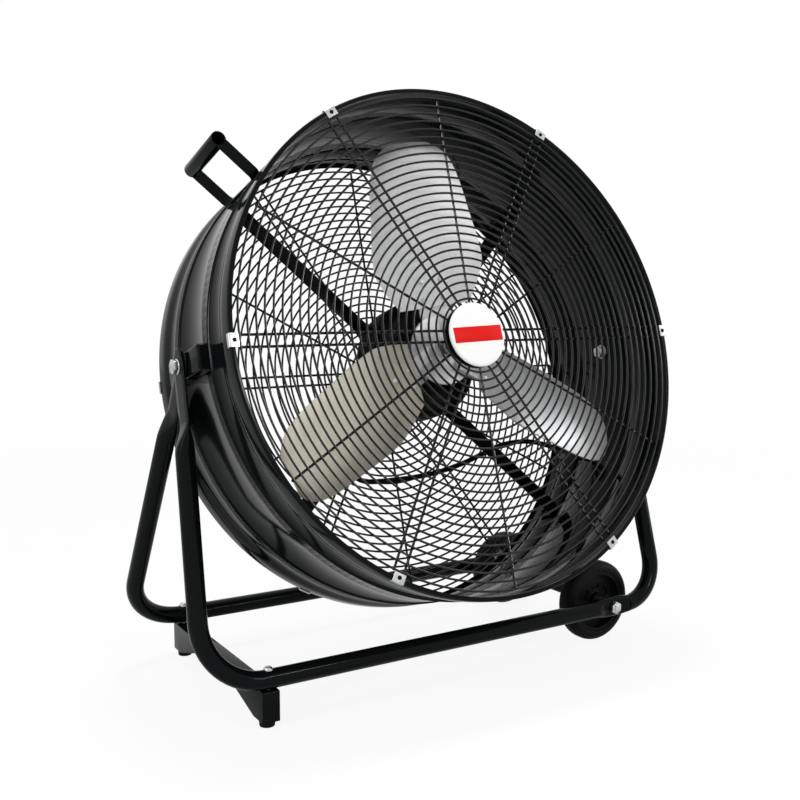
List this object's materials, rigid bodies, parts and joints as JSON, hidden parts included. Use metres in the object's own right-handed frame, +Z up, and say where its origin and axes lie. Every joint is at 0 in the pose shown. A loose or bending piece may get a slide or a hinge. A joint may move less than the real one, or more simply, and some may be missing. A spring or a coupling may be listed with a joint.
{
  "type": "drum fan",
  "caption": "Floor-standing drum fan with a tilting round drum, wire guards, a carrying handle and a wheeled tube stand.",
  "frame": {"origin": "on the floor, under the middle of the fan's overall box", "axes": "+X to the wheel end along the tilt axis, +Y to the back (the drum blows towards -Y), +Z up"},
  "size_m": [0.7788, 0.4554, 0.8231],
  "materials": {
    "black_paint": "gloss black powder coat",
    "black_wire": "semi-gloss black powder coat on wire",
    "motor_paint": "matt black",
    "zinc": "bright zinc plate",
    "satin_aluminium": "satin",
    "white_plate": "plain white, semi-matt",
    "black_plastic": "fine satin",
    "black_rubber": "matt"
  },
  "bodies": {
    "stand": {"front_frame_tube": "black_paint", "rear_frame_tube": "black_paint", "foot_channel": "black_paint", "rubber_foot_front": "black_rubber", "rubber_foot_rear": "black_rubber", "channel_screw_front": "zinc", "channel_screw_rear": "zinc", "wheel_axle": "zinc", "axle_nut_front": "zinc", "axle_nut_rear": "zinc", "axle_spacer_front": "zinc", "axle_spacer_rear": "zinc", "axle_sleeve": "black_paint"},
    "wheel_front": {"wheel_hub_front": "black_plastic", "tyre_front": "black_rubber"},
    "wheel_rear": {"wheel_hub_rear": "black_plastic", "tyre_rear": "black_rubber"},
    "drum": {"drum_shell": "black_paint", "front_guard_rings": "black_wire", "front_guard_stays": "black_wire", "rear_guard_rings": "black_wire", "rear_guard_stays": "black_wire", "front_rim_clip_1": "zinc", "front_rim_clip_2": "zinc", "front_rim_clip_3": "zinc", "front_rim_clip_4": "zinc", "front_rim_clip_5": "zinc", "front_rim_clip_6": "zinc", "rear_rim_clip_1": "zinc", "rear_rim_clip_2": "zinc", "rear_rim_clip_3": "zinc", "rear_rim_clip_4": "zinc", "rear_rim_clip_5": "zinc", "rear_rim_clip_6": "zinc", "badge_disc": "white_plate", "handle_strap": "black_paint", "handle_grip": "black_paint", "side_bracket_left": "black_paint", "side_bracket_right": "black_paint", "tilt_bolt_left": "zinc", "tilt_bolt_right": "zinc", "tilt_nut_left": "zinc", "tilt_nut_right": "zinc", "motor_body": "motor_paint", "motor_rear_cover": "motor_paint", "motor_strut_1": "black_paint", "motor_strut_2": "black_paint", "motor_strut_3": "black_paint", "motor_strut_4": "black_paint", "motor_lead": "black_rubber", "switch_box": "black_plastic", "cable_gland": "black_plastic"},
    "fan_wheel": {"motor_shaft": "zinc", "fan_hub": "satin_aluminium", "blade_1": "satin_aluminium", "blade_2": "satin_aluminium", "blade_3": "satin_aluminium", "hub_nut": "zinc"},
    "knob": {"speed_knob": "black_plastic"}
  },
  "joints": [
    {"name": "drum_tilt", "type": "hinge", "parent": "stand", "child": "drum", "pos_m": [-0.00026, -0.0023, 0.45], "axis": [1, 0, 0], "range_deg": [-73.7, 106.3]},
    {"name": "fan_spin", "type": "hinge", "parent": "drum", "child": "fan_wheel", "pos_m": [-0.00026, -0.0023, 0.45], "axis": [0, -0.9598, 0.2807], "continuous": true},
    {"name": "wheel_front_spin", "type": "hinge", "parent": "stand", "child": "wheel_front", "pos_m": [0.28204, -0.0579, 0.0625], "axis": [0, 1, 0], "continuous": true},
    {"name": "wheel_rear_spin", "type": "hinge", "parent": "stand", "child": "wheel_rear", "pos_m": [0.28204, 0.1715, 0.0625], "axis": [0, 1, 0], "continuous": true},
    {"name": "knob_turn", "type": "hinge", "parent": "drum", "child": "knob", "pos_m": [0.32141, -0.05871, 0.25708], "axis": [0.848, -0.1487, -0.5086], "range_deg": [-135, 0]}
  ]
}
